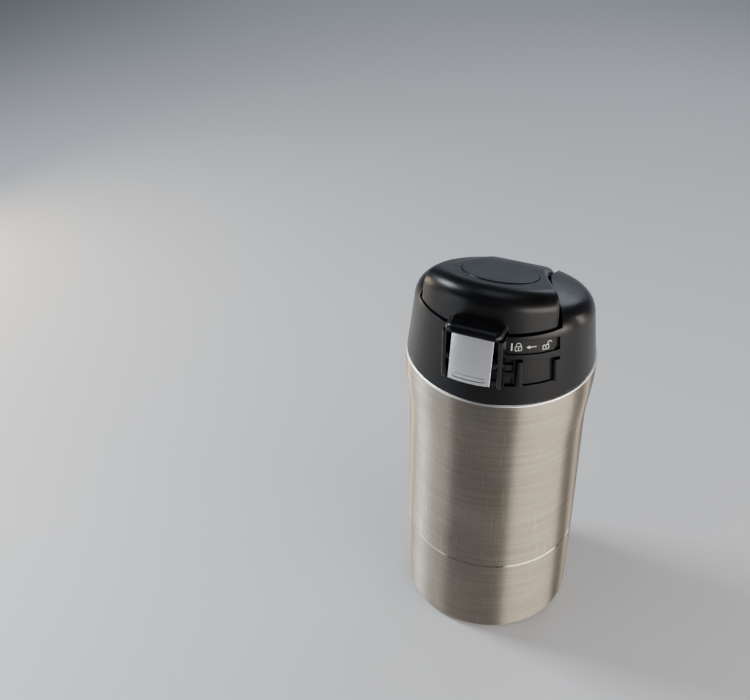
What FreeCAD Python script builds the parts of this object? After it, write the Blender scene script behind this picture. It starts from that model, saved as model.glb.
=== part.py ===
import FreeCAD, Part
import math
import os
from FreeCAD import Vector

# Insulated steel tumbler with a screw-on black lid: a flip-up cover over a drinking spout, a chrome
# release button under the cover's brow, and a sliding lock beside it.
# Row frame: origin at the centre of the base, +Z up, the release button faces -Y, the cover's hinge is at +Y.

os.makedirs("parts", exist_ok=True)

# ---------------------------------------------------------------- vessel
SEAM_Z = 126.0           # top of the visible steel, where the lid begins
SEAM_R = 36.3
BODY_R = 35.2            # radius from the foot to just above the groove
FOOT_ROUND = 3.0
GROOVE_Z = 39.5          # rolled line around the body
GROOVE_HALF = 0.6
GROOVE_DEPTH = 0.45
WAIST_R = 34.6
WAIST_LOW_Z = 91.0
WAIST_TOP_Z = 98.0
FLARE_TOP_Z = 121.5
RIM_ROUND = 0.9
STEEL = 0.5              # sheet thickness of both walls
NECK_R = 30.6            # outside of the stepped-in neck
NECK_ROUND = 1.0
NECK_TOP_Z = SEAM_Z + 12.0
LIP_TOP_Z = SEAM_Z + 12.6
LINER_R = 30.0
LINER_FLOOR_Z = 5.0
LINER_ROUND = 5.0
BASE_R = BODY_R - FOOT_ROUND   # the base plate's edge, welded inside the foot
BASE_RING_R = 27.0       # inner edge of the flat ring that the tumbler stands on
BASE_STEP_R = 25.5
BASE_RECESS_Z = 2.0
SEAL_R = 2.6
GETTER_R = 7.0
GETTER_T = 0.8
FOIL_T = 0.08
FOIL_GAP = 0.05
FOIL_LOW_Z = 14.0
FOIL_TOP_Z = 118.0

# ---------------------------------------------------------------- thread between neck and lid
THREAD_LEAD = 8.0        # two starts, so a ridge passes every 4 mm
THREAD_STARTS = 2
THREAD_TURNS = 0.62
THREAD_HEIGHT = 1.1
THREAD_ROOT_W = 1.8
THREAD_CREST_W = 0.8
THREAD_BITE = 0.25       # how far a ridge is sunk into its wall
NECK_THREAD_Z = SEAM_Z + 3.3
CORE_BORE_R = 32.0
CORE_THREAD_DROP = 2.05  # the lid's ridges lie this far below the neck's

# ---------------------------------------------------------------- lid
WALL_R = 35.8            # collar's radius at the seam, a little inside the steel's bright rim
WALL_TAPER = 0.12        # how much the radius shrinks per millimetre of height
LID_GAP = 0.3            # air between the steel shoulder and the collar
LID_WALL = 1.5
RIM_Z = SEAM_Z + 27.5    # front rim under the flip cover
DECK_LOW_Z = SEAM_Z + 13.0
DECK_Z = SEAM_Z + 15.5   # floor of the bowl under the flip cover
CROWN_Z = SEAM_Z + 32.9  # height of the collar's crowned, sloping top above the axis
CROWN_SLOPE = 0.26       # fall per millimetre towards the hinge, at the axis
CROWN_CURVE = 0.0057     # fall per square millimetre of distance, which crowns the top
CROWN_ROUND = 9.0
BOWL_R = 30.3            # inside of the front wall
BOWL_PLAY = 0.6          # between the cover's sides and the front wall
SPLIT_GAP = 1.5          # between the flip cover and the collar's shoulders
SPLIT_FRONT = (27.4, -22.4)
SPLIT_MIDDLE = (21.0, -8.6)
SPLIT_BACK = (13.2, 17.0)
HINGE_HALF = 13.1        # half width of the opening around the hinge

# ---------------------------------------------------------------- flip cover
HINGE_Y = 23.5
HINGE_Z = SEAM_Z + 19.8
BARREL_R = 3.1
PIN_R = 1.0
PIN_CLEARANCE = 0.06
PIN_HALF = 15.0
COVER_Z = SEAM_Z + 34.9  # height of the cover's sloping top above the axis
COVER_SLOPE = 0.318
COVER_BEND_Y = 3.0       # behind this the top bends down to the hinge
COVER_ROUND = 6.0
COVER_SIDE_ROUND = 2.8
COVER_WALL = 1.8
COVER_LIFT = 1.0         # air under the cover's front edge
COVER_STEP = 0.4         # the cover's wall stands this far inside the collar's, so the rim shows as a ledge
SKIRT_FRONT_Y = -21.0    # behind this the cover's sides reach down between the shoulders
DISC_R = 13.9
DISC_Y = -7.0
DISC_T = 1.1
DISC_PROUD = 0.35
BROW_HALF = 10.3
BROW_FRONT_Y = -37.9
BROW_LOW_Z = SEAM_Z + 29.6
BROW_TOP_Z = SEAM_Z + 32.2
PANEL_DROP = 6.4         # the cover's inner panel lies this far below its top
PANEL_T = 1.2
PANEL_BACK_Y = 8.0
BROW_ROUND = 2.2
BROW_CORNER = 3.2        # rounding of the brow's two front corners in plan
SPRING_WIRE = 0.25       # radius of the torsion spring's wire
SPRING_HALF = 3.0
SPRING_TURNS = 8

# ---------------------------------------------------------------- spout and seals
SPOUT_Y = -17.0
SPOUT_R = 8.0
SPOUT_BORE_R = 6.0
SPOUT_TOP_Z = SEAM_Z + 29.5
SPOUT_FLANGE_R = 9.3
PLUG_R = 28.5
PLUG_WALL = 1.5
PLUG_LOW_Z = SEAM_Z + 9.8
SEAL_NOSE_R = 5.1
SEAL_NOSE_LENGTH = 2.2
SEAL_HEAD_R = 8.4
SEAL_HEAD_T = 1.6
SEAL_GAP = 0.05
VENT_Y = 14.0
VENT_R = 1.1
GASKET_TOP_Z = SEAM_Z + 14.2

# ---------------------------------------------------------------- release button
BEZEL_HALF = 10.9        # outside of the two upright rails beside the button
BEZEL_RAIL = 1.7         # width of a rail
BEZEL_FRONT_Y = -37.1
BEZEL_LOW_Z = SEAM_Z + 8.0
BEZEL_TOP_Z = SEAM_Z + 29.2
BEZEL_STRIP_PROUD = 0.6  # the strip that joins the rails' feet stands this far off the wall
BEZEL_STRIP_TOP_Z = SEAM_Z + 10.2
PLATE_RIM_R = 37.3       # radius of the plate's bowed front, level with the rim
PLATE_LEAN = 0.16        # the radius grows this much per millimetre downwards
PLATE_HALF = 7.6
PLATE_LOW_Z = SEAM_Z + 11.0
PLATE_TOP_Z = SEAM_Z + 29.2
PLATE_T = 0.8
PIVOT_Y = -35.6
PIVOT_Z = SEAM_Z + 18.5
PIVOT_R = 0.8
LEVER_T = 1.2
LEVER_SIDE = 0.6         # the lever is this much narrower than the plate on each side
LEVER_BOSS_R = 1.5
LEVER_BOSS_HALF = 8.9    # the pivot boss nearly fills the space between the rails
GRIP_HALF = 6.0          # half length of the recessed grip near the plate's foot
GRIP_Z = SEAM_Z + 13.1
GRIP_R = 0.95
GRIP_GROOVE = 0.3        # width of the groove round the grip
GRIP_GROOVE_DEPTH = 0.5
GRIP_DEPTH = 0.2
BEZEL_FOOT_ROUND = 2.4
BEZEL_EDGE_ROUND = 0.7
PLATE_BEVEL = 0.25
HOOK_HALF = 3.2          # latch hook at the lever's top
HOOK_FRONT_Y = -35.5
HOOK_ROOM = 1.3          # free space in front of the hook, for its travel
HOOK_HEADROOM = 0.35
HOOK_LIFT = 0.15         # between the hook's nose and the catch
HOOK_T = 1.0
HOOK_TOP_Z = SEAM_Z + 30.9
HOOK_SHORT = 0.15        # the hook's nose stops this far short of the catch
CATCH_Y = -33.6
CATCH_TOP_Z = SEAM_Z + 29.9
LEAF_HALF = 2.5          # folded leaf spring between the wall and the lever's foot
LEAF_T = 0.25
LEAF_BACK_Y = -34.6
LEAF_FRONT_Y = -37.6
LEAF_FOLD = 0.9          # length of the flat fold at its top
LEAF_LOW_Z = SEAM_Z + 12.0
LEAF_TOP_Z = SEAM_Z + 15.2

# ---------------------------------------------------------------- lock slider and label, angles from the button
WINDOW_LOW_Z = SEAM_Z + 7.9
WINDOW_TOP_Z = SEAM_Z + 19.2
WINDOW_FALL = 6.5        # degrees by which the window's top edge runs down to the right
WINDOW_FROM = 18.6
WINDOW_TO = 53.0
SLIDER_GAP = 0.25
LEFT_RIDGE = (25.0, 29.0)
RIGHT_RIDGE = (47.8, 52.3)
RIDGE_HEIGHT = 1.3
SLIDER_BACK_GAP = 0.1
SLIDER_TRAVEL = 6.0      # degrees, from unlocked to locked
TRACK_DEPTH = 0.8        # undercut behind the window that holds the slider's flange
TONGUE_FROM = 17.0
TONGUE_Z = SEAM_Z + 12.0
LABEL_LOW_Z = SEAM_Z + 20.7
LABEL_TOP_Z = SEAM_Z + 26.7
LABEL_TOP_FALL = 5.5     # degrees by which the label's top edge runs down to the right
LABEL_LOW_FALL = 3.0
LABEL_FROM = 19.0
LABEL_TO = 52.8
LABEL_PLATE_TO = 49.6    # right of the plate the recess is a little deeper
LABEL_POCKET = 0.25
LABEL_DEPTH = 0.7
LABEL_T = 0.3
PRINT_T = 0.12
ICON_BAR = 21.8
ICON_CLOSED = 25.9
ICON_ARROW = 34.0
ICON_OPEN = 43.2
ICON_Z = SEAM_Z + 23.6
ICON_FALL = 4.0
LINE = 0.22              # width of the pictograms' lines
ICON_DEPTH = 8.0         # the flat pictograms reach this deep before they are cut to the print's skin


def save(shape, node):
    shape = shape.removeSplitter()
    assert shape.isValid(), node
    assert len(shape.Solids) >= 1, node
    for solid in shape.Solids:
        assert solid.Volume > 0, node
    shape.exportStep("parts/" + node + ".step")
    print(node, "solids", len(shape.Solids), "volume", round(shape.Volume, 1))


# ---------------------------------------------------------------- shared shape helpers
def outline(start, steps):
    """Closed wire in the XZ plane from a start point and (kind, points...) steps; points are (radius, z)."""
    def at(point):
        return Vector(point[0], 0, point[1])

    here = at(start)
    edges = []
    for kind, *points in steps:
        there = at(points[-1])
        if kind == "line":
            edges.append(Part.makeLine(here, there))
        elif kind == "arc":
            edges.append(Part.Arc(here, at(points[0]), there).toShape())
        else:
            curve = Part.BSplineCurve()
            upward = Vector(0, 0, 1) if there.z > here.z else Vector(0, 0, -1)
            curve.interpolate(Points=[here, there], Tangents=[upward * 30, upward * 30],
                              TangentFlags=[True, True])
            edges.append(curve.toShape())
        here = there
    if here.distanceToPoint(at(start)) > 1e-6:
        edges.append(Part.makeLine(here, at(start)))
    return Part.Wire(edges)


def revolved(start, steps):
    face = Part.Face(outline(start, steps))
    return face.revolve(Vector(0, 0, 0), Vector(0, 0, 1), 360)


def corner(centre, radius, angle):
    """Point on a circle in the (radius, z) plane, for the middle of an arc."""
    turn = math.radians(angle)
    return (centre[0] + radius * math.cos(turn), centre[1] + radius * math.sin(turn))


def tube(outer, inner, low, top):
    return disc(outer, low, top).cut(disc(inner, low - 1, top + 1))


def disc(radius, low, top, x=0.0, y=0.0):
    return Part.makeCylinder(radius, top - low, Vector(x, y, low))


def block(x0, x1, y0, y1, z0, z1):
    return Part.makeBox(x1 - x0, y1 - y0, z1 - z0, Vector(x0, y0, z0))


def rod_x(radius, half, y, z):
    return Part.makeCylinder(radius, 2 * half, Vector(-half, y, z), Vector(1, 0, 0))


def wall_radius(z):
    return WALL_R - WALL_TAPER * (z - SEAM_Z)


def taper(low, top, inset=0.0):
    """Solid cone that follows the lid's wall, inset by a constant radial distance."""
    return Part.makeCone(wall_radius(low) - inset, wall_radius(top) - inset, top - low, Vector(0, 0, low))


def side_prism(points, half):
    """Solid from a closed outline of (y, z) points, spread half to each side of x = 0."""
    corners = [Vector(-half, y, z) for y, z in points]
    corners.append(corners[0])
    return Part.Face(Part.makePolygon(corners)).extrude(Vector(2 * half, 0, 0))


def sector(start_angle, end_angle, low, top):
    """Wedge from the axis outwards between two angles from the button, positive to its right."""
    reach = 60.0
    count = 4
    corners = [Vector(0, 0, low)]
    for index in range(count + 1):
        turn = math.radians(start_angle + (end_angle - start_angle) * index / count)
        corners.append(Vector(reach * math.sin(turn), -reach * math.cos(turn), low))
    corners.append(corners[0])
    return Part.Face(Part.makePolygon(corners)).extrude(Vector(0, 0, top - low))


def wall_band(start_angle, end_angle, low, top, inner_inset, outer_inset):
    """Piece of the tapered wall between two angles, two heights and two depths."""
    band = taper(low, top, outer_inset).cut(taper(low - 1, top + 1, inner_inset))
    return band.common(sector(start_angle, end_angle, low - 1, top + 1))


def above_tilted(angle, at_angle, height, fall):
    """Everything above a plane that meets the wall at a height and runs down to the right by fall degrees."""
    reach = 60.0
    upper = block(-reach, reach, -reach, reach, 0, reach)
    upper.rotate(Vector(0, 0, 0), Vector(0, 1, 0), fall)
    sideways = WALL_R * math.tan(math.radians(at_angle - angle))
    upper.translate(Vector(sideways, 0, height))
    upper.rotate(Vector(0, 0, 0), Vector(0, 0, 1), angle)
    return upper


def thread_ridges(root_radius, outward, low):
    """Both starts of a trapezoid ridge on a cylinder wall; outward is 1 for the neck and -1 for the lid."""
    ridges = []
    for start in range(THREAD_STARTS):
        helix = Part.makeHelix(THREAD_LEAD, THREAD_LEAD * THREAD_TURNS, root_radius)
        sunk = root_radius - outward * THREAD_BITE
        crest = root_radius + outward * THREAD_HEIGHT
        section = Part.makePolygon([
            Vector(sunk, 0, -THREAD_ROOT_W / 2),
            Vector(crest, 0, -THREAD_CREST_W / 2),
            Vector(crest, 0, THREAD_CREST_W / 2),
            Vector(sunk, 0, THREAD_ROOT_W / 2),
            Vector(sunk, 0, -THREAD_ROOT_W / 2)])
        ridge = Part.Wire(helix).makePipeShell([section], True, True)
        ridge.rotate(Vector(0, 0, 0), Vector(0, 0, 1), 360.0 * start / THREAD_STARTS)
        ridge.translate(Vector(0, 0, low))
        ridges.append(ridge)
    return ridges


# ---------------------------------------------------------------- vessel pieces
def make_outer_shell():
    foot = (BODY_R - FOOT_ROUND, FOOT_ROUND)
    inner_foot_round = FOOT_ROUND - STEEL
    neck_corner = (NECK_R + NECK_ROUND, SEAM_Z + NECK_ROUND)
    rim = (SEAM_R - RIM_ROUND, SEAM_Z - RIM_ROUND)
    shell = revolved((foot[0], 0), [
        ("arc", corner(foot, FOOT_ROUND, -45), (BODY_R, FOOT_ROUND)),
        ("line", (BODY_R, GROOVE_Z - GROOVE_HALF)),
        ("line", (BODY_R - GROOVE_DEPTH, GROOVE_Z)),
        ("line", (BODY_R, GROOVE_Z + GROOVE_HALF)),
        ("line", (WAIST_R, WAIST_LOW_Z)),
        ("line", (WAIST_R, WAIST_TOP_Z)),
        ("spline", (SEAM_R, FLARE_TOP_Z)),
        ("line", (SEAM_R, SEAM_Z - RIM_ROUND)),
        ("arc", corner(rim, RIM_ROUND, 45), (SEAM_R - RIM_ROUND, SEAM_Z)),
        ("line", (NECK_R + NECK_ROUND, SEAM_Z)),
        ("arc", corner(neck_corner, NECK_ROUND, 225), (NECK_R, SEAM_Z + NECK_ROUND)),
        ("line", (NECK_R, NECK_TOP_Z)),
        ("line", (NECK_R - STEEL, NECK_TOP_Z)),
        ("line", (NECK_R - STEEL, SEAM_Z - STEEL)),
        ("line", (SEAM_R - STEEL, SEAM_Z - STEEL)),
        ("line", (SEAM_R - STEEL, FLARE_TOP_Z)),
        ("spline", (WAIST_R - STEEL, WAIST_TOP_Z)),
        ("line", (WAIST_R - STEEL, WAIST_LOW_Z)),
        ("line", (BODY_R - STEEL, GROOVE_Z + GROOVE_HALF)),
        ("line", (BODY_R - GROOVE_DEPTH - STEEL, GROOVE_Z)),
        ("line", (BODY_R - STEEL, GROOVE_Z - GROOVE_HALF)),
        ("line", (BODY_R - STEEL, FOOT_ROUND)),
        ("arc", corner(foot, inner_foot_round, -45), (foot[0], STEEL))])
    for ridge in thread_ridges(NECK_R, 1, NECK_THREAD_Z):
        shell = shell.fuse(ridge)
    return shell


def make_inner_liner():
    bead = (NECK_R + LINER_R - STEEL) / 2
    inside = LINER_R - STEEL
    low = (LINER_R - LINER_ROUND, LINER_FLOOR_Z + LINER_ROUND)
    return revolved((0, LINER_FLOOR_Z), [
        ("line", (low[0], LINER_FLOOR_Z)),
        ("arc", corner(low, LINER_ROUND, -45), (LINER_R, low[1])),
        ("line", (LINER_R, NECK_TOP_Z)),
        ("line", (NECK_R, NECK_TOP_Z)),
        ("arc", (bead, LIP_TOP_Z), (inside, NECK_TOP_Z)),
        ("line", (inside, low[1])),
        ("arc", corner(low, LINER_ROUND - STEEL, -45), (low[0], LINER_FLOOR_Z + STEEL)),
        ("line", (0, LINER_FLOOR_Z + STEEL))])


def make_base_plate():
    plate = revolved((SEAL_R, BASE_RECESS_Z), [
        ("line", (BASE_STEP_R, BASE_RECESS_Z)),
        ("line", (BASE_RING_R, 0)),
        ("line", (BASE_R, 0)),
        ("line", (BASE_R, STEEL)),
        ("line", (BASE_RING_R + STEEL / 2, STEEL)),
        ("line", (BASE_STEP_R + STEEL / 2, BASE_RECESS_Z + STEEL)),
        ("line", (SEAL_R, BASE_RECESS_Z + STEEL))])
    return plate


def make_seal_bead():
    low = BASE_RECESS_Z - STEEL
    return revolved((0, low), [
        ("arc", (SEAL_R * 0.75, low + STEEL * 0.3), (SEAL_R, BASE_RECESS_Z)),
        ("line", (SEAL_R, BASE_RECESS_Z + STEEL)),
        ("line", (0, BASE_RECESS_Z + STEEL))])


def make_getter_disc():
    return disc(GETTER_R, LINER_FLOOR_Z - GETTER_T, LINER_FLOOR_Z)


def make_radiation_foil():
    inner = LINER_R + FOIL_GAP
    return tube(inner + FOIL_T, inner, FOIL_LOW_Z, FOIL_TOP_Z)


# ---------------------------------------------------------------- lid outlines
def split_edge(side, shift):
    """Curve in plan between cover and shoulder on one side, moved outwards by shift; it ends parallel to Y."""
    points = [Vector(side * (x + shift), y, 0) for x, y in (SPLIT_FRONT, SPLIT_MIDDLE, SPLIT_BACK)]
    curve = Part.BSplineCurve()
    curve.interpolate(Points=points, InitialTangent=points[1] - points[0], FinalTangent=Vector(0, 15, 0))
    return points, curve.toShape()


def split_prism(shift, front_y, back_y, low, top):
    """Plan of the flip cover as a prism: two curved sides, closed straight across in front and behind."""
    right, right_curve = split_edge(1, shift)
    left, left_curve = split_edge(-1, shift)
    spread = (right[0].x - right[1].x) / (right[1].y - right[0].y)
    front_x = right[0].x + spread * (right[0].y - front_y)
    corners = [
        left[0],
        Vector(-front_x, front_y, 0),
        Vector(front_x, front_y, 0),
        right[0]]
    behind = [
        right[2],
        Vector(right[2].x, back_y, 0),
        Vector(left[2].x, back_y, 0),
        left[2]]
    edges = [right_curve, left_curve]
    for chain in (corners, behind):
        for first, second in zip(chain, chain[1:]):
            edges.append(Part.makeLine(first, second))
    prism = Part.Face(Part.Wire(Part.__sortEdges__(edges))).extrude(Vector(0, 0, top - low))
    prism.translate(Vector(0, 0, low))
    return prism


def round_rim(body, rounding):
    """Round the edge between a tapered wall and the top that closes it."""
    rim = [edge for edge in body.Edges if edge.BoundBox.ZLength > 5 and edge.BoundBox.XLength > 10]
    return body.makeFillet(rounding, rim)


def sloped_dome(top_z, slope, rounding, inset, step=0.0):
    """Tapered wall under a sloping, rounded top, or the same form inset for a hollow."""
    high = SEAM_Z + 55
    reach = 60
    body = taper(SEAM_Z, high, inset + step)
    body = body.cut(side_prism([
        (-reach, top_z - inset + slope * reach),
        (reach, top_z - inset - slope * reach),
        (reach, high + 1),
        (-reach, high + 1)], reach))
    return round_rim(body, rounding - inset)


def above_crown(inset):
    """Everything above the collar's top, a shallow dome about an upright axis in front of the lid's own."""
    reach = 64.0
    high = SEAM_Z + 60
    ahead = CROWN_SLOPE / (2 * CROWN_CURVE)
    peak = CROWN_Z + CROWN_CURVE * ahead ** 2 - inset
    arch = [Vector(distance, 0, peak - CROWN_CURVE * distance ** 2) for distance in (0, reach / 2, reach)]
    corners = [arch[2], Vector(reach, 0, high), Vector(0, 0, high), arch[0]]
    edges = [Part.Arc(*arch).toShape()]
    for first, second in zip(corners, corners[1:]):
        edges.append(Part.makeLine(first, second))
    cutter = Part.Face(Part.Wire(edges)).revolve(Vector(0, 0, 0), Vector(0, 0, 1), 360)
    cutter.translate(Vector(0, -ahead, 0))
    return cutter


def collar_dome(inset):
    high = SEAM_Z + 55
    return round_rim(taper(SEAM_Z, high, inset).cut(above_crown(inset)), CROWN_ROUND - inset)


def make_collar():
    high = SEAM_Z + 50
    collar = collar_dome(0).cut(disc(40, SEAM_Z - 1, SEAM_Z + LID_GAP))
    # room for the threaded core
    collar = collar.cut(taper(SEAM_Z - 1, DECK_Z, LID_WALL))
    # bowl under the cover, inside a round front wall
    bowl_plan = split_prism(SPLIT_GAP / 2, -40, HINGE_Y + BARREL_R + 0.6, DECK_Z - 1, high)
    collar = collar.cut(bowl_plan.common(disc(BOWL_R, DECK_Z - 2, high)))
    # front opening above the rim
    collar = collar.cut(split_prism(SPLIT_GAP / 2, -45, 0, RIM_Z, high))
    # hinge opening, clear to the back
    hinge_room = block(-HINGE_HALF, HINGE_HALF, 15, 40, DECK_Z, high)
    collar = collar.cut(hinge_room)
    # the shoulders are hollow, open downwards onto the core
    hollow = collar_dome(LID_WALL).common(disc(40, DECK_Z - 0.5, high))
    hollow = hollow.cut(split_prism(SPLIT_GAP / 2 + LID_WALL, -45, 45, DECK_Z - 1, high))
    front_keep = disc(40, DECK_Z - 1, RIM_Z).common(sector(-54, 54, DECK_Z - 1, RIM_Z))
    hollow = hollow.cut(front_keep)
    collar = collar.cut(hollow)
    # bores for the hinge pin
    collar = collar.cut(rod_x(PIN_R, PIN_HALF, HINGE_Y, HINGE_Z))
    # slider window, its inner track, and the label recess with its deeper end
    window = wall_band(WINDOW_FROM, WINDOW_TO, WINDOW_LOW_Z, WINDOW_TOP_Z + 1, LID_WALL + 1, -1)
    collar = collar.cut(window.cut(above_window(0)))
    collar = collar.cut(wall_band(TONGUE_FROM - SLIDER_TRAVEL - 1, WINDOW_TO + 2.3, WINDOW_LOW_Z - 1.2,
                                  WINDOW_TOP_Z + 1.0, LID_WALL + 0.05, LID_WALL - TRACK_DEPTH))
    collar = collar.cut(label_space(LABEL_FROM, LABEL_TO, 0, LABEL_DEPTH, -1))
    return collar.cut(label_space(LABEL_PLATE_TO, LABEL_TO, 0, LABEL_DEPTH + LABEL_POCKET, LABEL_DEPTH - 0.1))


def above_window(gap):
    """Everything above the window's top edge, lowered by a gap for the slider."""
    return above_tilted((WINDOW_FROM + WINDOW_TO) / 2, WINDOW_FROM, WINDOW_TOP_Z - gap, WINDOW_FALL)


def label_space(start_angle, end_angle, gap, inner_inset, outer_inset):
    """Piece of the wall inside the label's two sloping edges, kept a gap away from them."""
    middle = (LABEL_FROM + LABEL_TO) / 2
    space = wall_band(start_angle, end_angle, LABEL_LOW_Z - 3, LABEL_TOP_Z + 1, inner_inset, outer_inset)
    space = space.cut(above_tilted(middle, LABEL_FROM, LABEL_TOP_Z - gap, LABEL_TOP_FALL))
    return space.common(above_tilted(middle, LABEL_FROM, LABEL_LOW_Z + gap, LABEL_LOW_FALL))


def make_lid_core():
    """Core welded into the collar: a wall with the female thread, the bowl's floor, and a short plug."""
    play = 0.1
    low = SEAM_Z + LID_GAP + 0.2
    core = taper(low, DECK_Z, LID_WALL + play).cut(disc(CORE_BORE_R, low - 1, DECK_LOW_Z))
    core = core.fuse(tube(PLUG_R, PLUG_R - PLUG_WALL, PLUG_LOW_Z, DECK_LOW_Z))
    gasket_seat = tube(NECK_R + 0.9, PLUG_R, DECK_LOW_Z - 1, GASKET_TOP_Z)
    core = core.cut(gasket_seat)
    core = core.cut(disc(SPOUT_R, PLUG_LOW_Z, DECK_Z + 1, 0, SPOUT_Y))
    core = core.cut(disc(VENT_R, PLUG_LOW_Z, DECK_Z + 1, 0, VENT_Y))
    for ridge in thread_ridges(CORE_BORE_R, -1, NECK_THREAD_Z - CORE_THREAD_DROP):
        core = core.fuse(ridge)
    return core


def make_mouth_gasket():
    inner = PLUG_R
    outer = NECK_R + 0.7
    gap = 0.05
    low = LIP_TOP_Z + gap
    ridge_r = (inner + outer) / 2
    return revolved((inner, low + 0.5), [
        ("line", (ridge_r - 0.6, low)),
        ("line", (ridge_r + 0.6, low)),
        ("line", (outer, low + 0.5)),
        ("line", (outer, GASKET_TOP_Z)),
        ("line", (inner, GASKET_TOP_Z))])


def make_spout():
    flange_low = DECK_LOW_Z - 1.4
    spout = disc(SPOUT_R, flange_low, SPOUT_TOP_Z, 0, SPOUT_Y)
    spout = spout.fuse(disc(SPOUT_FLANGE_R, flange_low, DECK_LOW_Z, 0, SPOUT_Y))
    spout = spout.cut(disc(SPOUT_BORE_R, flange_low - 1, SPOUT_TOP_Z + 1, 0, SPOUT_Y))
    top_edges = [edge for edge in spout.Edges
                 if edge.BoundBox.ZMin > SPOUT_TOP_Z - 0.01 and len(edge.Vertexes) == 1]
    return spout.makeFillet(0.7, top_edges)


# ---------------------------------------------------------------- flip cover pieces
def cover_top(y, drop):
    return COVER_Z - drop - COVER_SLOPE * y


def tangent_arc(start, direction, end):
    """Arc that leaves start along a direction and arrives at end; all in one plane of constant x."""
    normal = Vector(0, -direction.z, direction.y)
    normal.normalize()
    chord = end - start
    radius = chord.dot(chord) / (2 * normal.dot(chord))
    centre = start + normal * radius
    halfway = (start + end) * 0.5 - centre
    halfway.normalize()
    return Part.Arc(start, centre + halfway * abs(radius), end).toShape()


def cover_profile(drop):
    """Outline of the cover seen from its side: sloping top, bent down to the barrel, stepped underside."""
    front = -50
    slope = Vector(0, 1, -COVER_SLOPE)
    bend = Vector(0, COVER_BEND_Y, cover_top(COVER_BEND_Y, drop))
    end = Vector(0, HINGE_Y + 1.2, HINGE_Z + BARREL_R - 0.2 - drop)
    top_front = Vector(0, front, cover_top(front, drop))
    edges = [Part.makeLine(top_front, bend), tangent_arc(bend, slope, end)]
    under = [
        end,
        Vector(0, HINGE_Y + BARREL_R, HINGE_Z),
        Vector(0, HINGE_Y, HINGE_Z - BARREL_R + 0.6),
        Vector(0, SKIRT_FRONT_Y, RIM_Z + COVER_LIFT),
        Vector(0, front, RIM_Z + COVER_LIFT),
        top_front]
    for first, second in zip(under, under[1:]):
        edges.append(Part.makeLine(first, second))
    return Part.Wire(edges)


def cover_form(inset):
    """Outer form of the flip cover, or the same form inset for its hollow."""
    side = Part.Face(cover_profile(inset)).extrude(Vector(80, 0, 0))
    side.translate(Vector(-40, 0, 0))
    plan = split_prism(-SPLIT_GAP / 2 - inset, -60, 45, SEAM_Z, SEAM_Z + 60)
    form = sloped_dome(COVER_Z, COVER_SLOPE, COVER_ROUND, inset, COVER_STEP).common(plan).common(side)
    form = form.cut(tube(50, BOWL_R - BOWL_PLAY, SEAM_Z, RIM_Z + COVER_LIFT))
    if inset == 0:
        sides = [edge for edge in form.Edges if on_cover_side(edge)]
        form = form.makeFillet(COVER_SIDE_ROUND, sides)
    return form


def on_cover_side(edge):
    """True for the edges along the cover's sides: top corners, front corners, and the bend to the barrel."""
    middle = edge.CenterOfMass
    if abs(middle.x) < 10 or edge.BoundBox.XLength > 30:
        return False
    if middle.z < RIM_Z + 0.5 and middle.y < SKIRT_FRONT_Y + 3:
        return False
    return middle.z > HINGE_Z + BARREL_R + 1.0 - 0.35 * (middle.y - HINGE_Y) / 2


def disc_frame():
    """Placement of the round top inlay: centred on the sloping top, its axis square to it."""
    tilt = math.degrees(math.atan(COVER_SLOPE))
    place = FreeCAD.Placement()
    place.Base = Vector(0, DISC_Y, cover_top(DISC_Y, 0))
    place.Rotation = FreeCAD.Rotation(Vector(1, 0, 0), -tilt)
    return place


def on_cover(shape):
    """Carry a shape made round the origin onto the cover's sloping top."""
    shape.Placement = disc_frame().multiply(shape.Placement)
    return shape


def make_brow():
    """Rounded visor on the front of the cover, over the button; hollow underneath for the latch hook."""
    brow = block(-BROW_HALF, BROW_HALF, BROW_FRONT_Y, -29.0, BROW_LOW_Z, BROW_TOP_Z)
    corners = [edge for edge in brow.Edges
               if edge.BoundBox.YMax < BROW_FRONT_Y + 0.01 and edge.BoundBox.ZLength > 1]
    brow = brow.makeFillet(BROW_CORNER, corners)
    rim = [edge for edge in brow.Edges
           if edge.BoundBox.ZMin > BROW_TOP_Z - 0.01 and edge.BoundBox.YMin < -29.5]
    return brow.makeFillet(BROW_ROUND, rim)


def make_flip_cover():
    cover = cover_form(0).fuse(make_brow())
    hollow = cover_form(COVER_WALL).cut(block(-40, 40, HINGE_Y - BARREL_R - 2, 60, SEAM_Z, SEAM_Z + 60))
    # the hinge end stays solid round the pin; the rest is open underneath for the inner panel
    cover = cover.cut(hollow)
    hook_side = HOOK_HALF + 0.7
    room_top = HOOK_TOP_Z + HOOK_HEADROOM
    hook_room = block(-hook_side, hook_side, HOOK_FRONT_Y - HOOK_ROOM, CATCH_Y, RIM_Z, room_top)
    cover = cover.cut(hook_room)
    ledge_room = block(-hook_side, hook_side, CATCH_Y - 0.1, CATCH_Y + 1.0, CATCH_TOP_Z, room_top)
    cover = cover.cut(ledge_room)
    cover = cover.cut(rod_x(PIN_R + PIN_CLEARANCE, 20, HINGE_Y, HINGE_Z))
    spring_room = block(-SPRING_HALF - 0.4, SPRING_HALF + 0.4, HINGE_Y - BARREL_R - 0.5, 40,
                        HINGE_Z - 5, HINGE_Z + 2.3)
    cover = cover.cut(spring_room)
    inlay = on_cover(disc(DISC_R + 0.15, -DISC_T + DISC_PROUD, 5))
    return cover.cut(inlay)


def make_top_disc():
    inlay = disc(DISC_R, -DISC_T + DISC_PROUD, DISC_PROUD)
    rim = [edge for edge in inlay.Edges if edge.BoundBox.ZMin > DISC_PROUD - 0.01]
    return on_cover(inlay.makeFillet(0.5, rim))


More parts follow.
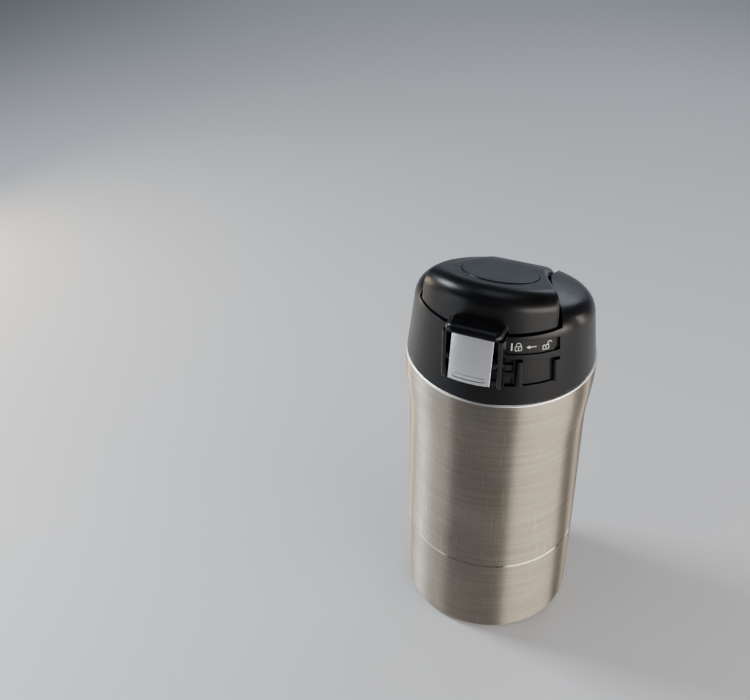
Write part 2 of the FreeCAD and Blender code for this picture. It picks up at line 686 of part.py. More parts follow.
def make_cover_panel():
    """Inner panel of the cover, parallel to its top, with the cup that holds the spout seal."""
    play = 0.1
    reach = 60
    slab = side_prism([
        (-reach, cover_top(-reach, PANEL_DROP)),
        (reach, cover_top(reach, PANEL_DROP)),
        (reach, cover_top(reach, PANEL_DROP + PANEL_T)),
        (-reach, cover_top(-reach, PANEL_DROP + PANEL_T))], 40)
    panel = slab.common(cover_form(COVER_WALL + play))
    panel = panel.cut(block(-40, 40, PANEL_BACK_Y, 60, SEAM_Z, SEAM_Z + 60))
    cup_low = SPOUT_TOP_Z + 0.4
    cup = disc(SEAL_HEAD_R + 1.3, cup_low, cover_top(SPOUT_Y, PANEL_DROP + PANEL_T / 2), 0, SPOUT_Y)
    panel = panel.fuse(cup)
    head_top = SPOUT_TOP_Z + SEAL_GAP + SEAL_HEAD_T
    return panel.cut(disc(SEAL_HEAD_R, cup_low - 1, head_top, 0, SPOUT_Y))


def make_spout_seal():
    low = SPOUT_TOP_Z + SEAL_GAP
    seal = disc(SEAL_HEAD_R, low, low + SEAL_HEAD_T, 0, SPOUT_Y)
    nose = disc(SEAL_NOSE_R, SPOUT_TOP_Z - SEAL_NOSE_LENGTH, low + SEAL_HEAD_T, 0, SPOUT_Y)
    tip = [edge for edge in nose.Edges if edge.BoundBox.ZMax < SPOUT_TOP_Z - SEAL_NOSE_LENGTH + 0.01]
    return seal.fuse(nose.makeFillet(1.0, tip))


def make_hinge_pin():
    return rod_x(PIN_R, PIN_HALF, HINGE_Y, HINGE_Z)


def coil(radius, wire, length, turns):
    """Helical wire along +Z from the origin."""
    helix = Part.makeHelix(length / turns, length, radius)
    section = Part.Wire(Part.makeCircle(wire, Vector(radius, 0, 0), Vector(0, 1, 0)))
    return Part.Wire(helix).makePipeShell([section], True, True)


def make_cover_spring():
    """Torsion coil round the hinge pin, in the middle of the barrel."""
    radius = PIN_R + SPRING_WIRE + 0.2
    spring = coil(radius, SPRING_WIRE, 2 * SPRING_HALF - 2 * SPRING_WIRE, SPRING_TURNS)
    spring.rotate(Vector(0, 0, 0), Vector(0, 1, 0), 90)
    spring.translate(Vector(-SPRING_HALF + SPRING_WIRE, HINGE_Y, HINGE_Z))
    return spring


# ---------------------------------------------------------------- button pieces
def front_radius(z):
    return PLATE_RIM_R + PLATE_LEAN * (RIM_Z - z)


def bowed_solid(low, top, behind):
    """Solid cone whose wall is the plate's bowed, leaning front, moved inwards by behind."""
    return Part.makeCone(front_radius(low) - behind, front_radius(top) - behind, top - low, Vector(0, 0, low))


def bowed_slab(half, low, top, behind, thickness):
    slab = bowed_solid(low, top, behind).cut(bowed_solid(low - 1, top + 1, behind + thickness))
    return slab.common(block(-half, half, -60, -20, low, top))


def make_rail(side):
    """Upright rail beside the button, with rounded edges and a rounded foot."""
    inner = BEZEL_HALF - BEZEL_RAIL
    rail = block(inner, BEZEL_HALF, BEZEL_FRONT_Y, -28.0, BEZEL_LOW_Z, BEZEL_TOP_Z)
    foot = [edge for edge in rail.Edges
            if edge.BoundBox.YMax < BEZEL_FRONT_Y + 0.01 and edge.BoundBox.ZMax < BEZEL_LOW_Z + 0.01]
    rail = rail.makeFillet(BEZEL_FOOT_ROUND, foot)
    front = [edge for edge in rail.Edges
             if edge.BoundBox.YMax < BEZEL_FRONT_Y + BEZEL_FOOT_ROUND + 0.01 and edge.BoundBox.XLength < 0.01]
    rail = rail.makeFillet(BEZEL_EDGE_ROUND, front)
    if side < 0:
        rail = rail.mirror(Vector(0, 0, 0), Vector(1, 0, 0))
    return rail


def make_button_bezel():
    """Two rails that carry the button's pin, joined at their feet by a thin strip along the wall."""
    strip = taper(BEZEL_LOW_Z + 0.5, BEZEL_STRIP_TOP_Z, -BEZEL_STRIP_PROUD)
    strip = strip.common(block(-BEZEL_HALF + 0.1, BEZEL_HALF - 0.1, -60, -20, SEAM_Z, RIM_Z))
    bezel = strip.fuse(make_rail(1)).fuse(make_rail(-1))
    bezel = bezel.cut(taper(SEAM_Z, RIM_Z + 5, -0.02))
    return bezel.cut(rod_x(PIVOT_R, BEZEL_HALF + 1, PIVOT_Y, PIVOT_Z))


def make_button_plate():
    """Chrome thumb plate, bowed like the lid, with a grooved grip near its foot."""
    plate = bowed_slab(PLATE_HALF, PLATE_LOW_Z, PLATE_TOP_Z, 0, PLATE_T)
    plate = plate.makeFillet(PLATE_BEVEL, [edge for edge in plate.Edges if on_plate_front(edge)])
    plate = plate.cut(grip(GRIP_R, GRIP_GROOVE_DEPTH).cut(grip(GRIP_R - GRIP_GROOVE, PLATE_T)))
    return plate.cut(grip(GRIP_R - GRIP_GROOVE, GRIP_DEPTH))


def on_plate_front(edge):
    for vertex in edge.Vertexes:
        if math.hypot(vertex.X, vertex.Y) < front_radius(vertex.Z) - 0.1:
            return False
    return True


def grip(rounding, depth):
    """Long rounded space near the plate's foot, from in front of the plate to depth behind its bowed front."""
    run = GRIP_HALF - GRIP_R
    front = -front_radius(GRIP_Z) - 2
    length = 6.0
    low, top = GRIP_Z - rounding, GRIP_Z + rounding
    shape = block(-run, run, front, front + length, low, top)
    for side in (-1, 1):
        end = Part.makeCylinder(rounding, length, Vector(side * run, front, GRIP_Z), Vector(0, 1, 0))
        shape = shape.fuse(end)
    return shape.cut(bowed_solid(low - 1, top + 1, depth))


def make_button_lever():
    """Rocker behind the plate: pivot boss in the middle and a latch hook at its top."""
    half = PLATE_HALF - LEVER_SIDE
    lever = bowed_slab(half, PLATE_LOW_Z + 0.4, PLATE_TOP_Z - 0.4, PLATE_T, LEVER_T)
    lever = lever.fuse(rod_x(LEVER_BOSS_R, LEVER_BOSS_HALF, PIVOT_Y, PIVOT_Z))
    web_low = PIVOT_Z - LEVER_BOSS_R + 0.1
    web_top = PIVOT_Z + LEVER_BOSS_R - 0.1
    web = block(-half, half, -60, PIVOT_Y, web_low, web_top)
    lever = lever.fuse(web.common(bowed_solid(web_low, web_top, PLATE_T + LEVER_T / 2)))
    hook_back = HOOK_FRONT_Y + HOOK_T
    lever = lever.fuse(block(-HOOK_HALF, HOOK_HALF, HOOK_FRONT_Y, hook_back, PLATE_TOP_Z - 4, HOOK_TOP_Z))
    nose_low = CATCH_TOP_Z + HOOK_LIFT
    lever = lever.fuse(block(-HOOK_HALF, HOOK_HALF, HOOK_FRONT_Y, CATCH_Y - HOOK_SHORT, nose_low, HOOK_TOP_Z))
    return lever.cut(rod_x(PIVOT_R + PIN_CLEARANCE, 20, PIVOT_Y, PIVOT_Z))


def make_button_pin():
    return rod_x(PIVOT_R, BEZEL_HALF - 0.2, PIVOT_Y, PIVOT_Z)


def make_button_spring():
    """Leaf spring folded at its top: one leg lies on the wall, the other presses on the lever's foot."""
    fold_y = LEAF_BACK_Y - LEAF_FOLD
    leg_t = 1.2 * LEAF_T
    return side_prism([
        (LEAF_BACK_Y, LEAF_LOW_Z),
        (LEAF_BACK_Y, LEAF_TOP_Z),
        (fold_y, LEAF_TOP_Z),
        (LEAF_FRONT_Y, LEAF_LOW_Z),
        (LEAF_FRONT_Y + leg_t, LEAF_LOW_Z),
        (fold_y + leg_t / 2, LEAF_TOP_Z - LEAF_T),
        (LEAF_BACK_Y - LEAF_T, LEAF_TOP_Z - LEAF_T),
        (LEAF_BACK_Y - LEAF_T, LEAF_LOW_Z)], LEAF_HALF)


# ---------------------------------------------------------------- lock slider and label
def make_lock_slider():
    """Curved slide that turns about the axis: a flange behind the window, two ridges, and a thumb face."""
    low = WINDOW_LOW_Z + SLIDER_GAP
    top = WINDOW_TOP_Z - SLIDER_GAP
    left, right = LEFT_RIDGE[0], RIGHT_RIDGE[1]
    back = LID_WALL - SLIDER_BACK_GAP
    slider = wall_band(left, right, low, top, back, 0.55)
    flange_front = LID_WALL - TRACK_DEPTH + 0.15
    for start, end in (LEFT_RIDGE, RIGHT_RIDGE):
        ridge = wall_band(start, end, low, top, 1.0, -RIDGE_HEIGHT)
        crest = WALL_R + RIDGE_HEIGHT - 0.3 - WALL_TAPER * (low - SEAM_Z)
        uprights = []
        for edge in ridge.Edges:
            foot = edge.Vertexes[0]
            if edge.BoundBox.ZLength > 8 and math.hypot(foot.X, foot.Y) > crest - 1.5:
                uprights.append(edge)
        slider = slider.fuse(ridge.makeFillet(0.9, uprights))
    slider = slider.cut(above_window(SLIDER_GAP))
    slider = slider.fuse(wall_band(left - 1.5, right + 1.5, low - 0.9, top + 0.6, back, flange_front))
    tongue = wall_band(TONGUE_FROM, left, TONGUE_Z - 1, TONGUE_Z + 1, back, flange_front)
    return slider.fuse(tongue)


def make_label_plate():
    return label_space(LABEL_FROM + 0.4, LABEL_PLATE_TO, 0.25, LABEL_DEPTH, LABEL_DEPTH - LABEL_T)


def flat_frame(x0, x1, z0, z1):
    """Rectangular line frame, as a prism along +Y."""
    frame = block(x0, x1, 0, ICON_DEPTH, z0, z1)
    return frame.cut(block(x0 + LINE, x1 - LINE, -1, ICON_DEPTH + 1, z0 + LINE, z1 - LINE))


def flat_dot(radius, x, z):
    return Part.makeCylinder(radius, ICON_DEPTH, Vector(x, 0, z), Vector(0, 1, 0))


def flat_padlock(open_shackle):
    """Padlock pictogram in line: a body with a keyhole, and a shackle that is swung to the right when open."""
    half, low, top = 1.2, -1.5, 0.35
    shackle_r = 0.85
    middle = (low + top) / 2
    rise = 0.45
    arch = flat_dot(shackle_r, 0, top + rise).cut(flat_dot(shackle_r - LINE, 0, top + rise))
    arch = arch.cut(block(-2, 2, -1, ICON_DEPTH + 1, low, top + rise))
    leg = block(-shackle_r, LINE - shackle_r, 0, ICON_DEPTH, top - 0.1, top + rise + 0.01)
    other = block(shackle_r - LINE, shackle_r, 0, ICON_DEPTH, top - 0.1, top + rise + 0.01)
    shackle = arch.fuse(leg)
    if open_shackle:
        shackle.translate(Vector(2 * shackle_r - LINE, 0, 0))
    else:
        shackle = shackle.fuse(other)
    slot = block(-0.1, 0.1, 0, ICON_DEPTH, middle - 0.45, middle + 0.1)
    keyhole = flat_dot(0.24, 0, middle + 0.12).fuse(slot)
    return flat_frame(-half, half, low, top).fuse(shackle).fuse(keyhole)


def flat_arrow():
    """Arrow pictogram pointing to the viewer's left."""
    shaft = block(-0.9, 1.8, 0, ICON_DEPTH, -LINE * 0.6, LINE * 0.6)
    point = Vector(-1.9, 0, 0)
    tip = Part.makePolygon([point, Vector(-0.6, 0, 0.65), Vector(-0.6, 0, -0.65), point])
    return shaft.fuse(Part.Face(tip).extrude(Vector(0, ICON_DEPTH, 0)))


def make_lock_icons():
    """Printed pictograms on the label: end bar, closed padlock, arrow, open padlock."""
    front = LABEL_DEPTH - LABEL_T - PRINT_T
    skin = wall_band(LABEL_FROM, LABEL_TO, LABEL_LOW_Z - 2, LABEL_TOP_Z, LABEL_DEPTH - LABEL_T, front)
    bar = block(-0.22, 0.22, 0, ICON_DEPTH, -1.45, 1.45)
    prints = [
        (ICON_BAR, bar),
        (ICON_CLOSED, flat_padlock(False)),
        (ICON_ARROW, flat_arrow()),
        (ICON_OPEN, flat_padlock(True))]
    pieces = []
    for angle, prism in prints:
        along = math.radians(angle - ICON_BAR) * WALL_R
        fall = along * math.tan(math.radians(ICON_FALL))
        prism.translate(Vector(0, -WALL_R - 2, ICON_Z - fall))
        prism.rotate(Vector(0, 0, 0), Vector(0, 0, 1), angle)
        pieces.extend(skin.common(prism).Solids)
    return Part.makeCompound(pieces)


if __name__ == "__main__":
    save(make_outer_shell(), "outer_shell")
    save(make_inner_liner(), "inner_liner")
    save(make_base_plate(), "base_plate")
    save(make_seal_bead(), "vacuum_seal")
    save(make_getter_disc(), "getter_disc")
    save(make_radiation_foil(), "radiation_foil")
    save(make_collar(), "lid_collar")
    save(make_lid_core(), "lid_core")
    save(make_mouth_gasket(), "mouth_gasket")
    save(make_spout(), "spout")
    save(make_flip_cover(), "flip_cover")
    save(make_cover_panel(), "cover_panel")
    save(make_spout_seal(), "spout_seal")
    save(make_top_disc(), "top_disc")
    save(make_hinge_pin(), "hinge_pin")
    save(make_cover_spring(), "cover_spring")
    save(make_button_bezel(), "button_bezel")
    save(make_button_plate(), "button_plate")
    save(make_button_lever(), "button_lever")
    save(make_button_pin(), "button_pin")
    save(make_button_spring(), "button_spring")
    save(make_lock_slider(), "lock_slider")
    save(make_label_plate(), "label_plate")
    save(make_lock_icons(), "lock_icons")
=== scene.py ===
import math
import bpy
from mathutils import Matrix, Vector
from mathutils.bvhtree import BVHTree


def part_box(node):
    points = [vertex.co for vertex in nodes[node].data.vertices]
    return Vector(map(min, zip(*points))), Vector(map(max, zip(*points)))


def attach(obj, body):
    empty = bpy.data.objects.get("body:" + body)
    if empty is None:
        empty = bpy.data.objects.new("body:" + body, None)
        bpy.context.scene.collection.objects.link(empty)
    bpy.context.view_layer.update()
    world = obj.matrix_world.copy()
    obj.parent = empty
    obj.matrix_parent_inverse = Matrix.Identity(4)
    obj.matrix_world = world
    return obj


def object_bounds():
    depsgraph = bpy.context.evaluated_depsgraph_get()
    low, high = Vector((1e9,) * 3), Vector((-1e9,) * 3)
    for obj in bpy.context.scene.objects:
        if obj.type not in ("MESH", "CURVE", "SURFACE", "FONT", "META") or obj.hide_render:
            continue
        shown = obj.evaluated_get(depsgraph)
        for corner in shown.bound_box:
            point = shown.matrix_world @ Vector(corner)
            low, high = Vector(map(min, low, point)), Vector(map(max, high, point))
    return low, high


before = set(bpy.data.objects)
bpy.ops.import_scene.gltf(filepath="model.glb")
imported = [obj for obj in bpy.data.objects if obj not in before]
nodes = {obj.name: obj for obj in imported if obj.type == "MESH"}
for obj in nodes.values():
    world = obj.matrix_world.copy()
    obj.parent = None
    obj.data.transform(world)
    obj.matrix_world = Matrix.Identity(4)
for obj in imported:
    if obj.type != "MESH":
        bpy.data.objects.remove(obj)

cad_low, cad_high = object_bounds()

# ---------------------------------------------------------------- places on the tumbler, in metres
NECK_RISE = 0.012           # the steel's neck stands this far above its rolled edge, inside the lid
GROOVE_Z = 0.0395           # middle of the turned groove near the foot, above the table
GROOVE_REACH = 0.0006       # half the height of the line of polish along that groove, whose lighter tone is a painted highlight
seam_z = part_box("outer_shell")[1].z - NECK_RISE


# ---------------------------------------------------------------- camera
def make_camera():
    """Camera at the photograph's angle: above the button, a little to its right, and turned slightly."""
    camera = bpy.data.objects.new("camera", bpy.data.cameras.new("camera"))
    bpy.context.scene.collection.objects.link(camera)
    camera.data.sensor_width = 36.0
    camera.data.lens = 47.2
    camera.data.clip_start = 0.01
    camera.location = Vector((0.0804, -0.2937, seam_z + 0.2261))
    back = Vector((0.330, -0.727, 0.6025)).normalized()
    sideways = Vector((0.9168, 0.3988, -0.0210))
    right = (sideways - back * sideways.dot(back)).normalized()
    up = back.cross(right)
    camera.rotation_mode = "QUATERNION"
    camera.rotation_quaternion = Matrix((right, up, back)).transposed().to_quaternion()
    bpy.context.scene.camera = camera


# ---------------------------------------------------------------- material helpers
class Material:
    """A node material with short calls for the nodes that this scene uses."""

    def __init__(self, name):
        self.material = bpy.data.materials.new(name)
        self.material.use_nodes = True
        self.tree = self.material.node_tree
        self.shader = self.tree.nodes["Principled BSDF"]
        self.coords = self.tree.nodes.new("ShaderNodeTexCoord").outputs["Object"]

    def set(self, **values):
        """Constants on the shader's own sockets, with _ for the spaces in their names."""
        for name, value in values.items():
            self.shader.inputs[name.replace("_", " ")].default_value = value

    def link(self, source, target):
        self.tree.links.new(source, target)

    def stretched(self, scale):
        """Object coordinates in metres times a scale for each axis."""
        node = self.tree.nodes.new("ShaderNodeMapping")
        node.inputs["Scale"].default_value = scale
        self.link(self.coords, node.inputs["Vector"])
        return node.outputs["Vector"]

    def noise(self, vector, detail, roughness=0.5):
        node = self.tree.nodes.new("ShaderNodeTexNoise")
        node.inputs["Scale"].default_value = 1.0
        node.inputs["Detail"].default_value = detail
        node.inputs["Roughness"].default_value = roughness
        self.link(vector, node.inputs["Vector"])
        return node.outputs["Fac"]

    def span(self, value, low, high, from_low, from_high):
        """The stretch from_low to from_high of a value, spread over low to high and held at both ends."""
        node = self.tree.nodes.new("ShaderNodeMapRange")
        node.inputs["From Min"].default_value = from_low
        node.inputs["From Max"].default_value = from_high
        node.inputs["To Min"].default_value = low
        node.inputs["To Max"].default_value = high
        self.link(value, node.inputs["Value"])
        return node.outputs["Result"]

    def math(self, operation, first, second=0.0):
        """A Math node on two sockets or numbers."""
        node = self.tree.nodes.new("ShaderNodeMath")
        node.operation = operation
        for socket, value in zip(node.inputs, (first, second)):
            if isinstance(value, (int, float)):
                socket.default_value = value
            else:
                self.link(value, socket)
        return node.outputs["Value"]

    def mix(self, factor, first, second):
        node = self.tree.nodes.new("ShaderNodeMix")
        node.data_type = "RGBA"
        self.link(factor, node.inputs["Factor"])
        node.inputs["A"].default_value = (*first, 1.0)
        node.inputs["B"].default_value = (*second, 1.0)
        return node.outputs["Result"]

    def height(self):
        """Height above the table in metres, for details at one level of the tumbler."""
        node = self.tree.nodes.new("ShaderNodeSeparateXYZ")
        self.link(self.coords, node.inputs["Vector"])
        return node.outputs["Z"]

    def bump(self, height, strength, distance, edge=0.0):
        """Fine relief, over corners that a Bevel node softens by the radius edge if one is given."""
        node = self.tree.nodes.new("ShaderNodeBump")
        if edge:
            soft = self.tree.nodes.new("ShaderNodeBevel")
            soft.samples = 6
            soft.inputs["Radius"].default_value = edge
            self.link(soft.outputs["Normal"], node.inputs["Normal"])
        node.inputs["Strength"].default_value = strength
        node.inputs["Distance"].default_value = distance
        self.link(height, node.inputs["Height"])
        self.link(node.outputs["Normal"], self.shader.inputs["Normal"])


# ---------------------------------------------------------------- values that the materials share
# noise cells to the metre, in x, y and z
RING_GRAIN = (60, 60, 9000)
BAND_GRAIN = (25, 25, 900)
STAIN_GRAIN = (40, 40, 40)
SCRATCH_GRAIN = (900, 900, 55)
SMUDGE_GRAIN = (60, 60, 60)
SPARK_GRAIN = (5200, 5200, 5200)
CLOUD_GRAIN = (3, 3, 3)

# the parts of a noise's range that are spread over a whole change of tone or gloss
MIDDLE = (0.3, 0.7)
SMUDGED = (0.35, 0.75)
RARE_PEAKS = (0.64, 0.70)

RING_SHARE = 0.55           # how much of the metal's tone is fine rings; the rest is broad bands
RING_STRENGTH = 0.25
RING_DEPTH = 0.00003
SCRATCH_DULLS = 0.08        # roughness that a scratch adds
PAINTED_HIGHLIGHT_TONE = 1.6           # painted highlight: shift towards the light tone along the groove's line of polish
POLISH_GLOSS = 0.18         # roughness that polish takes away
POLISH_AND_HIGHLIGHT_CORE = 0.8           # the part of the line's half height, polish and painted highlight alike, before it fades
GLOSSIER = 0.04             # least roughness, below the stated one
METAL_DULLER = 0.05         # greatest roughness, above the stated one
PLASTIC_DULLER = 0.06
SPARK_STRENGTH = 0.35
HANDLED_GAIN = 1.5          # colour under handling marks is this much lighter
HANDLED_LIFT = 0.001        # and has this much added
SOFT_EDGE = 0.0004          # radius of the corners of moulded plastic


def brushed(name, light, dark, roughness, anisotropic=0.75, wear=0.0, polish_and_painted_highlight_lines=()):
    """Metal brushed round the tumbler's axis: fine rings, slow stains and, as far as wear says, short
    upright scratches. Each (level, reach) in polish_and_painted_highlight_lines is a glossier line round the
    tumbler whose lighter tone is a painted highlight."""
    metal = Material(name)
    metal.set(Metallic=1.0, Anisotropic=anisotropic, Anisotropic_Rotation=0.25)
    tangent = metal.tree.nodes.new("ShaderNodeTangent")
    tangent.direction_type = "RADIAL"
    tangent.axis = "Z"
    metal.link(tangent.outputs["Tangent"], metal.shader.inputs["Tangent"])
    rings = metal.noise(metal.stretched(RING_GRAIN), detail=3.0, roughness=0.7)
    bands = metal.noise(metal.stretched(BAND_GRAIN), detail=2.0)
    stains = metal.noise(metal.stretched(STAIN_GRAIN), detail=3.0)
    scratches = metal.noise(metal.stretched(SCRATCH_GRAIN), detail=2.0, roughness=0.6)
    turned = metal.math("ADD", metal.math("MULTIPLY", rings, RING_SHARE),
                        metal.math("MULTIPLY", bands, 1.0 - RING_SHARE))
    scratched = metal.math("MULTIPLY", metal.span(scratches, 0.0, 1.0, *RARE_PEAKS), wear)
    tone = metal.math("ADD", metal.span(turned, 0.0, 1.0, *MIDDLE), scratched)
    rough = metal.span(stains, roughness - GLOSSIER, roughness + METAL_DULLER, *MIDDLE)
    rough = metal.math("ADD", rough, metal.math("MULTIPLY", scratched, SCRATCH_DULLS))
    for level, reach in polish_and_painted_highlight_lines:
        away = metal.math("ABSOLUTE", metal.math("SUBTRACT", metal.height(), level))
        # the line's lower roughness is real polish; its lighter tone is a painted highlight for the light the
        # groove catches
        polish_and_highlight = metal.span(away, 1.0, 0.0, reach * POLISH_AND_HIGHLIGHT_CORE, reach)
        tone = metal.math("ADD", tone, metal.math("MULTIPLY", polish_and_highlight, PAINTED_HIGHLIGHT_TONE))
        rough = metal.math("SUBTRACT", rough, metal.math("MULTIPLY", polish_and_highlight, POLISH_GLOSS))
    metal.link(metal.mix(tone, dark, light), metal.shader.inputs["Base Color"])
    metal.link(rough, metal.shader.inputs["Roughness"])
    metal.bump(rings, RING_STRENGTH, RING_DEPTH)
    return metal.material


def moulded(name, colour, roughness, grain=0.00002, specular=0.5):
    """Moulded plastic: a fine spark-eroded grain, faint handling marks, and slightly uneven gloss."""
    plastic = Material(name)
    plastic.set(IOR=1.5, Specular_IOR_Level=specular)
    smudge = plastic.noise(plastic.stretched(SMUDGE_GRAIN), detail=4.0, roughness=0.6)
    sparks = plastic.noise(plastic.stretched(SPARK_GRAIN), detail=1.0)
    handled = tuple(channel * HANDLED_GAIN + HANDLED_LIFT for channel in colour)
    marks = plastic.span(smudge, 0.0, 1.0, *SMUDGED)
    plastic.link(plastic.mix(marks, colour, handled), plastic.shader.inputs["Base Color"])
    gloss = plastic.span(smudge, roughness - GLOSSIER, roughness + PLASTIC_DULLER, *MIDDLE)
    plastic.link(gloss, plastic.shader.inputs["Roughness"])
    plastic.bump(sparks, SPARK_STRENGTH, grain, SOFT_EDGE)
    return plastic.material


def dress(material, *names):
    for name in names:
        slots = nodes[name].data.materials
        slots.clear()
        slots.append(material)


def paint_cad_nodes():
    """One material for each kind of surface, with colours as linear red, green and blue."""
    # the groove line: real polish in roughness, painted highlight in tone
    steel = brushed("steel_brushed", (0.43, 0.385, 0.315), (0.27, 0.235, 0.19), 0.46,
                    anisotropic=1.0, wear=1.0, polish_and_painted_highlight_lines=((GROOVE_Z, GROOVE_REACH),))
    # painted highlight: the rolled rim is a far lighter copy of the body's steel, for the line of light it
    # catches, over its real polish
    polish_and_highlight = brushed("steel_rim_polish_and_highlight", (0.95, 0.93, 0.90), (0.84, 0.82, 0.79), 0.36, anisotropic=0.0)
    liner = brushed("steel_liner", (0.72, 0.71, 0.69), (0.62, 0.61, 0.59), 0.22, anisotropic=0.4)
    chrome = brushed("chrome_satin", (0.80, 0.80, 0.82), (0.74, 0.74, 0.76), 0.16, anisotropic=0.3)
    copper = brushed("foil_copper", (0.75, 0.45, 0.32), (0.62, 0.34, 0.22), 0.3, anisotropic=0.2)
    wire = brushed("wire_steel", (0.70, 0.70, 0.70), (0.55, 0.55, 0.55), 0.25, anisotropic=0.3)
    black = moulded("plastic_black", (0.002, 0.002, 0.0024), 0.30, specular=0.24)
    core = moulded("plastic_core", (0.006, 0.006, 0.0065), 0.45, specular=0.3)
    gloss = moulded("plastic_gloss", (0.003, 0.003, 0.0035), 0.22, grain=0.000008, specular=0.35)
    silicone = moulded("silicone_white", (0.60, 0.60, 0.58), 0.5)
    sinter = moulded("getter_sinter", (0.20, 0.20, 0.21), 0.8)
    printed = moulded("print_white", (0.75, 0.75, 0.74), 0.5)
    dress(steel, "outer_shell", "base_plate")
    dress(liner, "inner_liner")
    dress(chrome, "button_plate")
    dress(black, "lid_collar", "flip_cover", "top_disc", "lock_slider", "label_plate")
    dress(core, "lid_core", "spout", "cover_panel", "button_lever")
    dress(gloss, "button_bezel")
    dress(silicone, "mouth_gasket", "spout_seal")
    dress(copper, "radiation_foil")
    dress(sinter, "getter_disc", "vacuum_seal")
    dress(wire, "hinge_pin", "cover_spring", "button_pin", "button_spring")
    dress(printed, "lock_icons")
    make_grip_hatch(chrome)
    make_rim_ring(polish_and_highlight)


# ---------------------------------------------------------------- pieces added to the CAD
def surface_of(name):
    """Search tree over a CAD node's mesh, to lay small details on its faces."""
    mesh = nodes[name].data
    corners = [vertex.co.copy() for vertex in mesh.vertices]
    return BVHTree.FromPolygons(corners, [tuple(face.vertices) for face in mesh.polygons])


def new_piece(name, corners, faces, body, material):
    mesh = bpy.data.meshes.new(name)
    mesh.from_pydata(corners, [], faces)
    mesh.validate()
    mesh.update()
    piece = bpy.data.objects.new(name, mesh)
    bpy.context.scene.collection.objects.link(piece)
    mesh.materials.append(material)
    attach(piece, body)
    return piece


def make_rim_ring(material):
    """Rolled edge of the steel under the lid, turned finely so that it catches an even line; its steel is a
    much lighter copy of the body's, partly real polish and partly a painted highlight.
    """
    around, along = 288, 12                 # faces round the ring, and along its quarter circle
    rounding, skin = 0.0009, 0.00004        # the CAD's rounding, and how far the ring stands off it
    inside_box = 0.00001
    wall_drop, ledge_run, ledge_drop = 0.0003, 0.0004, 0.0001
    start_turn, turn_along = 2, 86          # degrees: where the arc begins above level, and its length
    low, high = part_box("outer_shell")
    outer = min(high.x, high.y, -low.x, -low.y) - inside_box
    centre_r, centre_z = outer - rounding, seam_z - rounding
    profile = [(outer - skin, centre_z - wall_drop)]
    for step in range(along + 1):
        turn = math.radians(start_turn + turn_along * step / along)
        reach = rounding + skin * math.sin(2 * turn)
        profile.append((centre_r + reach * math.cos(turn), centre_z + reach * math.sin(turn)))
    profile.append((centre_r - ledge_run, seam_z - ledge_drop))
    corners, faces = [], []
    for index in range(around):
        turn = 2 * math.pi * index / around
        corners.extend((radius * math.sin(turn), -radius * math.cos(turn), z) for radius, z in profile)
    width = len(profile)
    for index in range(around):
        here, there = index * width, (index + 1) % around * width
        for step in range(width - 1):
            faces.append((here + step, there + step, there + step + 1, here + step + 1))
    piece = new_piece("rim_ring", corners, faces, "bottle", material)
    for face in piece.data.polygons:
        face.use_smooth = True


def make_grip_hatch(material):
    """Slanting ribs on the floor of the button's grip, each laid on the CAD's face as a closed ridge."""
    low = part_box("button_plate")[0]
    tree = surface_of("button_plate")
    towards_plate, before_plate = Vector((0, 1, 0)), 0.01
    half_run, half_rise = 0.0051, 0.00058   # half the hatched strip's width and height
    middle = low.z + 0.0021                 # level of the grip's groove
    pitch, lean, steps = 0.00062, 0.9, 6    # between ribs, sideways for each metre up, lengths in a rib
    half_rib, proud = 0.00016, 0.00012      # half a rib's width, and how far it stands off the floor
    buried, shoulder, end_lift = -0.4, 0.45, 0.35
    across = 4                              # corners across a rib: foot, two shoulders and foot
    corners, faces = [], []
    count = int(2 * half_run / pitch)
    for index in range(count + 1):
        centre = -half_run + 2 * half_run * index / count
        start = len(corners)
        for step in range(steps + 1):
            rise = half_rise * (2.0 * step / steps - 1.0)
            x, z = centre + lean * rise, middle + rise
            hit = tree.ray_cast(Vector((x, low.y - before_plate, z)), towards_plate)[0]
            top = end_lift if step in (0, steps) else 1.0
            for side, lift in ((-1.0, buried), (-shoulder, top), (shoulder, top), (1.0, buried)):
                corners.append((x + side * half_rib, hit.y - lift * proud, z))
        for step in range(steps):
            for side in range(across - 1):
                first = start + across * step + side
                faces.append((first, first + 1, first + across + 1, first + across))
        faces.append(tuple(start + side for side in reversed(range(across))))
        last = start + across * steps
        faces.append(tuple(last + side for side in range(across)))
        for step in range(steps):
            first = start + across * step
            faces.append((first + across - 1, first, first + across, first + 2 * across - 1))
    new_piece("grip_hatch", corners, faces, "button", material)


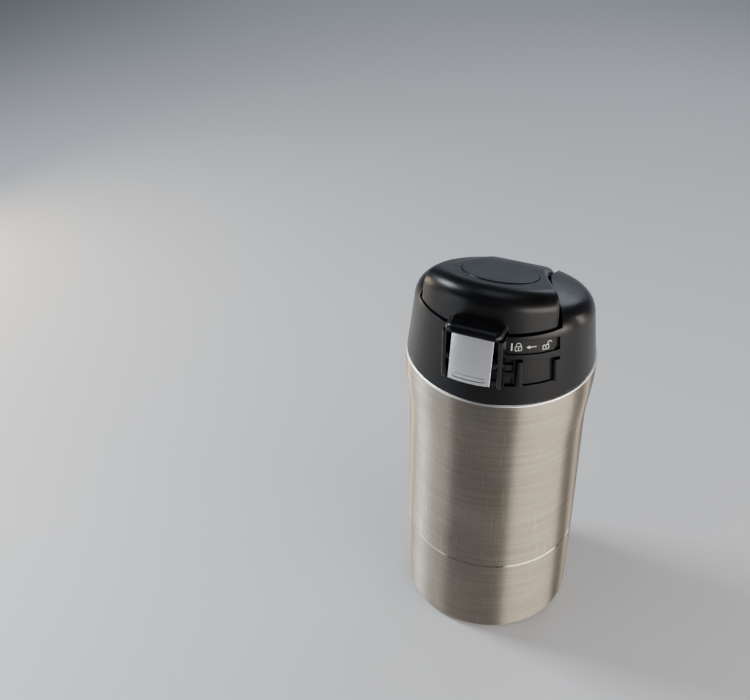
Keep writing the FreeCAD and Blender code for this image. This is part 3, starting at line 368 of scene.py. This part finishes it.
# ---------------------------------------------------------------- studio
def make_floor():
    reach, low = 3.0, cad_low.z
    mesh = bpy.data.meshes.new("floor")
    mesh.from_pydata([(-reach, -reach, low), (reach, -reach, low), (reach, reach, low), (-reach, reach, low)],
                     [], [(0, 1, 2, 3)])
    floor = bpy.data.objects.new("floor", mesh)
    bpy.context.scene.collection.objects.link(floor)
    pale = Material("floor_pale")
    pale.set(Roughness=0.6)
    cloud = pale.noise(pale.stretched(CLOUD_GRAIN), detail=2.0)
    pale.link(pale.mix(cloud, (0.60, 0.60, 0.61), (0.64, 0.64, 0.65)), pale.shader.inputs["Base Color"])
    mesh.materials.append(pale.material)


def make_world():
    world = bpy.data.worlds.new("studio")
    world.use_nodes = True
    background = world.node_tree.nodes["Background"]
    background.inputs["Color"].default_value = (0.60, 0.66, 0.76, 1)
    background.inputs["Strength"].default_value = 0.16
    bpy.context.scene.world = world


def area_light(name, place, aim_z, size, power, colour):
    """Soft lamp that faces the tumbler's axis at the height aim_z, with its size as width and height."""
    light = bpy.data.lights.new(name, "AREA")
    light.shape = "RECTANGLE"
    light.size, light.size_y = size
    light.energy = power
    light.color = colour
    holder = bpy.data.objects.new(name, light)
    holder.location = place
    holder.rotation_mode = "QUATERNION"
    holder.rotation_quaternion = (Vector((0, 0, aim_z)) - Vector(place)).to_track_quat("-Z", "Y")
    bpy.context.scene.collection.objects.link(holder)


def make_side_lights():
    """Low lamps round the steel, which put upright bands of light and shade on it."""
    body_z, height = 0.09, 0.20
    area_light("side_right", (0.47, -0.171, 0.125), body_z, (0.60, height), 3.8, (1.0, 0.95, 0.88))
    area_light("rear_right", (0.41, 0.287, 0.12), body_z, (0.04, height), 0.35, (1.0, 0.85, 0.76))
    area_light("side_left", (-0.491, 0.095, 0.115), body_z, (0.10, 0.19), 0.8, (1.0, 0.82, 0.58))
    area_light("front_left", (-0.284, -0.222, 0.115), body_z, (0.26, height), 0.36, (0.95, 0.97, 1.0))


def make_lid_lights():
    """Bluish lamps above and behind, whose reflections lie on the black lid."""
    area_light("high_left", (-0.50, 0.0, 0.50), 0.15, (0.16, 0.16), 4.0, (0.86, 0.93, 1.0))
    area_light("overhead", (0.0, -0.05, 0.85), 0.10, (0.4, 0.4), 0.85, (0.90, 0.95, 1.0))
    area_light("low_behind", (-0.2, 1.1, 0.28), 0.16, (1.2, 0.4), 0.9, (0.76, 0.87, 1.0))
    area_light("behind", (0.10, 0.65, 0.45), 0.14, (0.3, 0.30), 0.9, (0.84, 0.91, 1.0))


make_camera()
paint_cad_nodes()
make_floor()
make_world()
make_side_lights()
make_lid_lights()
